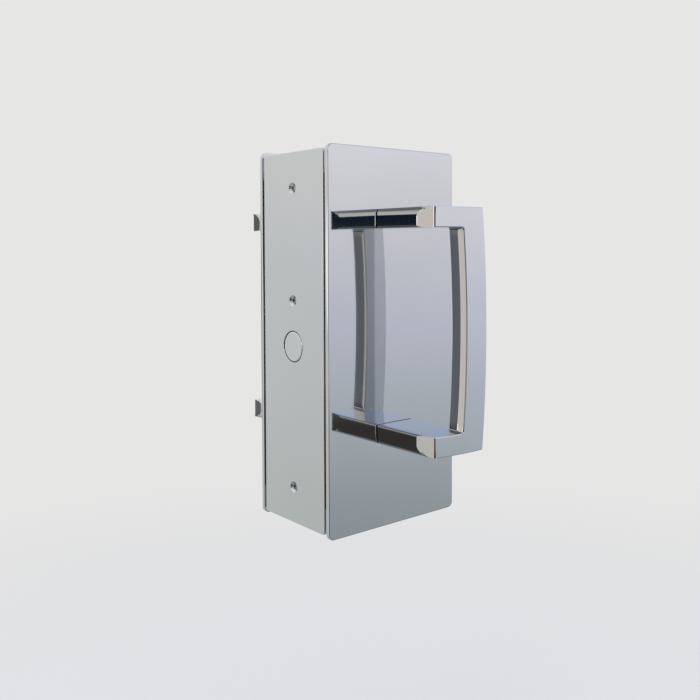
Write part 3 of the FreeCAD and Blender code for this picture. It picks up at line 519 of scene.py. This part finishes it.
def screwTree(finish):
    tree = bpy.data.node_groups.new("countersunkScrews", "GeometryNodeTree")
    panel = tree.interface
    panel.new_socket("Geometry", in_out="INPUT", socket_type="NodeSocketGeometry")
    for label in edgeScrews["sizes"]:
        panel.new_socket(label, in_out="INPUT", socket_type="NodeSocketFloat")
    panel.new_socket("Seed", in_out="INPUT", socket_type="NodeSocketInt")
    panel.new_socket("Geometry", in_out="OUTPUT", socket_type="NodeSocketGeometry")
    add = tree.nodes.new
    link = tree.links.new
    start = add("NodeGroupInput")
    end = add("NodeGroupOutput")

    def maths(operation, one, other):
        node = add("ShaderNodeMath")
        node.operation = operation
        for index, item in enumerate((one, other)):
            if isinstance(item, (int, float)):
                node.inputs[index].default_value = item
            else:
                link(item, node.inputs[index])
        return node.outputs[0]

    def lifted(geometry, height):
        move = add("GeometryNodeTransform")
        spot = add("ShaderNodeCombineXYZ")
        link(height, spot.inputs["Z"])
        link(geometry, move.inputs["Geometry"])
        link(spot.outputs[0], move.inputs["Translation"])
        return move.outputs[0]

    head = add("GeometryNodeMeshCone")
    head.inputs["Vertices"].default_value = edgeScrews["sides"]
    link(start.outputs["Head Radius"], head.inputs["Radius Bottom"])
    link(start.outputs["Shank Radius"], head.inputs["Radius Top"])
    link(start.outputs["Sink"], head.inputs["Depth"])
    shank = add("GeometryNodeMeshCylinder")  # it starts half way down the head, a little thinner than its tip
    shank.inputs["Vertices"].default_value = edgeScrews["sides"]
    link(maths("MULTIPLY", start.outputs["Shank Radius"], edgeScrews["shankShare"]), shank.inputs["Radius"])
    shankLength = maths("SUBTRACT", start.outputs["Length"], maths("MULTIPLY", start.outputs["Sink"], 0.5))
    link(shankLength, shank.inputs["Depth"])
    shankMiddle = maths("SUBTRACT", start.outputs["Length"], maths("MULTIPLY", shankLength, 0.5))
    whole = add("GeometryNodeMeshBoolean")
    whole.operation = "UNION"
    link(head.outputs["Mesh"], whole.inputs["Mesh 2"])
    link(lifted(shank.outputs["Mesh"], shankMiddle), whole.inputs["Mesh 2"])
    key = add("GeometryNodeMeshCylinder")  # a hexagon across its flats, half of it above the head
    key.inputs["Vertices"].default_value = 6
    link(maths("MULTIPLY", start.outputs["Socket Width"], 1 / math.sqrt(3)), key.inputs["Radius"])
    link(maths("MULTIPLY", start.outputs["Socket Depth"], 2.0), key.inputs["Depth"])
    socketed = add("GeometryNodeMeshBoolean")
    socketed.operation = "DIFFERENCE"
    link(whole.outputs["Mesh"], socketed.inputs["Mesh 1"])
    link(key.outputs["Mesh"], socketed.inputs["Mesh 2"])
    laid = add("GeometryNodeTransform")
    laid.inputs["Rotation"].default_value = (0, math.pi / 2, 0)
    link(socketed.outputs["Mesh"], laid.inputs["Geometry"])
    turn = add("FunctionNodeRandomValue")
    turn.data_type = "FLOAT"
    turn.inputs[2].default_value = 0.0
    turn.inputs[3].default_value = math.pi / 3
    link(start.outputs["Seed"], turn.inputs["Seed"])
    spun = add("ShaderNodeCombineXYZ")
    link(turn.outputs[1], spun.inputs["X"])
    placed = add("GeometryNodeInstanceOnPoints")
    link(start.outputs["Geometry"], placed.inputs["Points"])
    link(laid.outputs[0], placed.inputs["Instance"])
    link(spun.outputs[0], placed.inputs["Rotation"])
    real = add("GeometryNodeRealizeInstances")
    link(placed.outputs[0], real.inputs[0])
    dressed = add("GeometryNodeSetMaterial")
    dressed.inputs["Material"].default_value = finish
    link(real.outputs[0], dressed.inputs["Geometry"])
    link(dressed.outputs[0], end.inputs["Geometry"])
    return tree


spots = bpy.data.meshes.new("edgeScrews")
spots.from_pydata([(edgeScrews["face"] * mm, 0, height * mm) for height in edgeScrews["heights"]], [], [])
screwPiece = bpy.data.objects.new("edgeScrews", spots)
bpy.context.collection.objects.link(screwPiece)
screwMaker = screwPiece.modifiers.new("screws", "NODES")
screwMaker.node_group = screwTree(screwSteel)
for item in screwMaker.node_group.interface.items_tree:
    if item.in_out == "INPUT" and item.name in edgeScrews["sizes"]:
        screwMaker[item.identifier] = edgeScrews["sizes"][item.name] * mm
    elif item.in_out == "INPUT" and item.name == "Seed":
        screwMaker[item.identifier] = edgeScrews["seed"]
freeze(screwPiece)
smoothed(screwPiece.data)
settle(screwPiece, "case", "screw_steel", "edge_screws")
print("edge screws made")


def smoothCopy(name, node, finish):
    bm = bmesh.new()
    bm.from_mesh(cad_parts[node].data)
    return pieceFrom(name, bm, finish)


settle(smoothCopy("chassis", "chassis", castCase), "case", "cast_case", "chassis")
springPiece = smoothCopy("boltSpring", "bolt_spring", springSteel)
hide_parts("bolt_spring")
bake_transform(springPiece)  # it closes up as the bolt comes out
print("chassis and spring made")


# inner pieces, the solids themselves with a finish
innerFinishes = {"near_pull_screws": screwSteel, "near_pull_washers": screwSteel, "far_pull_screws": screwSteel,
                 "far_pull_washers": screwSteel, "edge_screw_inserts": insertBrass, "bolt_magnet": magnetNickel,
                 "bolt_clip": springSteel, "spring_seat": screwSteel, "bolt_guide": guidePlastic,
                 "bolt_buffer": bufferRubber, "guide_cap": guidePlastic, "guide_cap_screws": screwSteel}
for node, finish in innerFinishes.items():
    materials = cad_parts[node].data.materials
    if len(materials) == 0:
        materials.append(finish)
    for i in range(len(materials)):
        materials[i] = finish
print("inner pieces dressed:", len(innerFinishes))


# floor, which fades into the background where the camera sees it
studio = {"floorDrop": -0.32, "floorRadius": 6.0, "floorSegments": 96, "floorRough": 0.9, "floorGrain": 3.0,
          "floorTones": ((0.785, 0.785, 0.78), (0.80, 0.80, 0.795)), "fadeStart": 0.25, "fadeEnd": 1.0,
          "cameraPale": (0.795, 0.79, 0.785), "roomStrength": 1.16}


def floorFinish():
    mat, tree, shader = newFinish("paleFloor")
    add = tree.nodes.new
    link = tree.links.new
    shader.inputs["Roughness"].default_value = studio["floorRough"]
    grain = noise(tree, studio["floorGrain"], Detail=2.0)
    link(toned(tree, grain, *studio["floorTones"]), shader.inputs["Base Color"])
    glow = add("ShaderNodeEmission")
    glow.inputs["Color"].default_value = (*studio["cameraPale"], 1)
    coords = add("ShaderNodeTexCoord")
    reach = add("ShaderNodeVectorMath")
    reach.operation = "LENGTH"
    link(coords.outputs["Object"], reach.inputs[0])
    fade = add("ShaderNodeMapRange")
    fade.interpolation_type = "SMOOTHSTEP"
    fade.inputs["From Min"].default_value = studio["fadeStart"]
    fade.inputs["From Max"].default_value = studio["fadeEnd"]
    link(reach.outputs["Value"], fade.inputs["Value"])
    ray = add("ShaderNodeLightPath")
    seen = add("ShaderNodeMath")
    seen.operation = "MULTIPLY"
    link(fade.outputs[0], seen.inputs[0])
    link(ray.outputs["Is Camera Ray"], seen.inputs[1])
    mix = add("ShaderNodeMixShader")
    link(seen.outputs[0], mix.inputs[0])
    link(shader.outputs[0], mix.inputs[1])
    link(glow.outputs[0], mix.inputs[2])
    link(mix.outputs[0], tree.nodes["Material Output"].inputs["Surface"])
    return mat


floorBm = bmesh.new()
bmesh.ops.create_circle(floorBm, cap_ends=True, segments=studio["floorSegments"], radius=studio["floorRadius"])
floor = pieceFrom("floor", floorBm, floorFinish())
floor.location = (0, 0, studio["floorDrop"])
floor.visible_glossy = False
print("floor made")


# sky: the camera sees a plain tone, and the metal mirrors a graded room
world = bpy.data.worlds.new("studio")
bpy.context.scene.world = world
world.use_nodes = True
sky = world.node_tree
sky.nodes.clear()
skyAdd = sky.nodes.new
skyLink = sky.links.new
skyCoords = skyAdd("ShaderNodeTexCoord")
skySplit = skyAdd("ShaderNodeSeparateXYZ")
skyLink(skyCoords.outputs["Generated"], skySplit.inputs[0])


def heightRamp(stops):
    level = skyAdd("ShaderNodeMapRange")
    level.inputs["From Min"].default_value = -1.0
    level.inputs["From Max"].default_value = 1.0
    skyLink(skySplit.outputs["Z"], level.inputs["Value"])
    ramp = skyAdd("ShaderNodeValToRGB")
    while len(ramp.color_ramp.elements) < len(stops):
        ramp.color_ramp.elements.new(0.5)
    for element, (height, colour) in zip(ramp.color_ramp.elements, stops):
        element.position = (height + 1) / 2
        element.color = (*colour, 1)
    skyLink(level.outputs[0], ramp.inputs["Fac"])
    return ramp.outputs["Color"]


def towards(direction, nearEdge, farEdge):
    dot = skyAdd("ShaderNodeVectorMath")
    dot.operation = "DOT_PRODUCT"
    dot.inputs[1].default_value = Vector(direction).normalized()
    skyLink(skyCoords.outputs["Generated"], dot.inputs[0])
    edge = skyAdd("ShaderNodeMapRange")
    edge.interpolation_type = "SMOOTHSTEP"
    edge.inputs["From Min"].default_value = farEdge
    edge.inputs["From Max"].default_value = nearEdge
    skyLink(dot.outputs["Value"], edge.inputs["Value"])
    return edge.outputs[0]


def plainTone(colour):
    tone = skyAdd("ShaderNodeCombineXYZ")
    for axis, level in enumerate(colour):
        tone.inputs[axis].default_value = level
    return tone.outputs[0]


def blended(weight, under, over):
    mix = skyAdd("ShaderNodeMix")
    mix.data_type = "RGBA"
    skyLink(weight, mix.inputs["Factor"])
    skyLink(under, mix.inputs["A"])
    skyLink(over, mix.inputs["B"])
    return mix.outputs["Result"]


# each stop is a height from -1 to 1 and its tone
room = heightRamp([(-1.0, (0.22, 0.24, 0.26)), (-0.40, (0.28, 0.31, 0.33)), (-0.30, (0.36, 0.40, 0.42)),
                   (-0.22, (0.46, 0.50, 0.53)), (-0.10, (0.60, 0.62, 0.70)), (0.02, (0.74, 0.73, 0.78)),
                   (0.12, (0.86, 0.85, 0.88)), (0.15, (0.80, 0.80, 0.85)), (0.19, (0.62, 0.68, 0.79)),
                   (0.26, (0.46, 0.56, 0.77)), (0.5, (0.55, 0.62, 0.76)), (1.0, (0.9, 0.9, 0.92))])
paleSide = heightRamp([(-1.0, (0.40, 0.41, 0.41)), (-0.30, (0.57, 0.60, 0.58)), (0.0, (0.68, 0.69, 0.69)),
                       (0.12, (0.74, 0.74, 0.72)), (1.0, (0.92, 0.92, 0.92))])
warmSide = heightRamp([(-1.0, (0.40, 0.37, 0.33)), (-0.30, (0.57, 0.545, 0.50)), (0.2, (0.735, 0.65, 0.58)),
                       (1.0, (0.92, 0.90, 0.88))])
darkSide = heightRamp([(-1.0, (0.30, 0.30, 0.29)), (-0.62, (0.06, 0.055, 0.05)), (-0.205, (0.055, 0.05, 0.043)),
                       (-0.19, (0.30, 0.30, 0.29)), (-0.10, (0.19, 0.20, 0.21)), (0.0, (0.10, 0.105, 0.115)),
                       (0.014, (0.06, 0.065, 0.08)), (0.02, (0.012, 0.017, 0.03)), (0.185, (0.012, 0.017, 0.03)),
                       (0.21, (0.80, 0.80, 0.76)), (0.40, (0.74, 0.73, 0.66)), (0.50, (0.24, 0.23, 0.20)),
                       (1.0, (0.24, 0.23, 0.21))])
overhead = heightRamp([(-1.0, (0.3, 0.3, 0.3)), (0.42, (0.66, 0.65, 0.60)), (0.52, (0.24, 0.23, 0.20)),
                       (1.0, (0.24, 0.23, 0.21))])
farRoom = heightRamp([(-1.0, (0.2, 0.2, 0.2)), (0.0, (0.115, 0.12, 0.11)), (0.3, (0.12, 0.12, 0.12)),
                      (0.7, (0.8, 0.8, 0.8))])
brightStrip = heightRamp([(-0.6, (0.5, 0.5, 0.48)), (-0.1, (1.25, 1.22, 1.12)), (0.4, (1.35, 1.3, 1.2)),
                          (0.8, (0.9, 0.9, 0.9))])
cornerGlow = plainTone((1.9, 1.85, 1.7))
creamLine = plainTone((0.66, 0.64, 0.56))
# direction, cosines of the inner and outer edge, tone; later ones lie over earlier ones
roomParts = [((-0.633, 0.774, 0), 0.6, 0.1, paleSide), ((-1, 0.15, 0), 0.95, 0.75, warmSide),
             ((-0.19, 0.977, -0.08), 0.978, 0.962, farRoom), ((-0.76, 0.65, 0), 0.9962, 0.9936, brightStrip),
             ((-0.15, -0.67, 0.72), 0.90, 0.80, overhead), ((-0.588, -0.809, -0.1), 0.88, 0.68, darkSide),
             ((-0.985, -0.14, 0.12), 0.992, 0.984, cornerGlow),
             ((-0.9135, -0.4067, -0.09), 0.9903, 0.983, creamLine)]
for direction, nearEdge, farEdge, tone in roomParts:
    room = blended(towards(direction, nearEdge, farEdge), room, tone)

rayKind = skyAdd("ShaderNodeLightPath")
paleSky = skyAdd("ShaderNodeBackground")
paleSky.inputs["Color"].default_value = (*studio["cameraPale"], 1)
roomSky = skyAdd("ShaderNodeBackground")
roomSky.inputs["Strength"].default_value = studio["roomStrength"]
skyLink(room, roomSky.inputs["Color"])
skyPick = skyAdd("ShaderNodeMixShader")
skyLink(rayKind.outputs["Is Camera Ray"], skyPick.inputs[0])
skyLink(roomSky.outputs[0], skyPick.inputs[1])
skyLink(paleSky.outputs[0], skyPick.inputs[2])
skyOut = skyAdd("ShaderNodeOutputWorld")
skyLink(skyPick.outputs[0], skyOut.inputs["Surface"])


# light and camera
softbox = {"spot": (-0.5, -0.6, 1.3), "size": 1.2, "power": 9.0}
lamp = bpy.data.lights.new("softbox", "AREA")
lamp.size = softbox["size"]
lamp.energy = softbox["power"]
lampObject = bpy.data.objects.new("softbox", lamp)
bpy.context.collection.objects.link(lampObject)
lampObject.location = softbox["spot"]
lampObject.rotation_euler = (-Vector(softbox["spot"])).to_track_quat("-Z", "Y").to_euler()
lampObject.visible_glossy = False

photoView = {"spot": (-0.252, -0.2824, 0.0394), "heading": (0.6331, 0.7741), "tilt": -2.0, "roll": -0.0035,
             "focal": 827.9, "frame": 700.0, "horizon": 244.1, "sensor": 36.0, "clip": 0.01}
camera = bpy.data.cameras.new("photoView")
camera.sensor_width = photoView["sensor"]
camera.lens = photoView["focal"] / photoView["frame"] * photoView["sensor"]
tilt = math.radians(photoView["tilt"])
rise = photoView["horizon"] + photoView["focal"] * math.tan(-tilt) - photoView["frame"] / 2
camera.shift_y = rise / photoView["frame"]
camera.clip_start = photoView["clip"]
cameraObject = bpy.data.objects.new("photoView", camera)
bpy.context.collection.objects.link(cameraObject)
cameraObject.location = photoView["spot"]
headingX, headingY = photoView["heading"]
ahead = Vector((headingX * math.cos(tilt), headingY * math.cos(tilt), math.sin(tilt)))
cameraObject.rotation_mode = "QUATERNION"
cameraObject.rotation_quaternion = ahead.to_track_quat("-Z", "Y") @ Quaternion((0, 0, 1), photoView["roll"])
bpy.context.scene.camera = cameraObject
bpy.context.scene.view_settings.view_transform = "Standard"
print("studio and camera set, shift", round(camera.shift_y, 4))
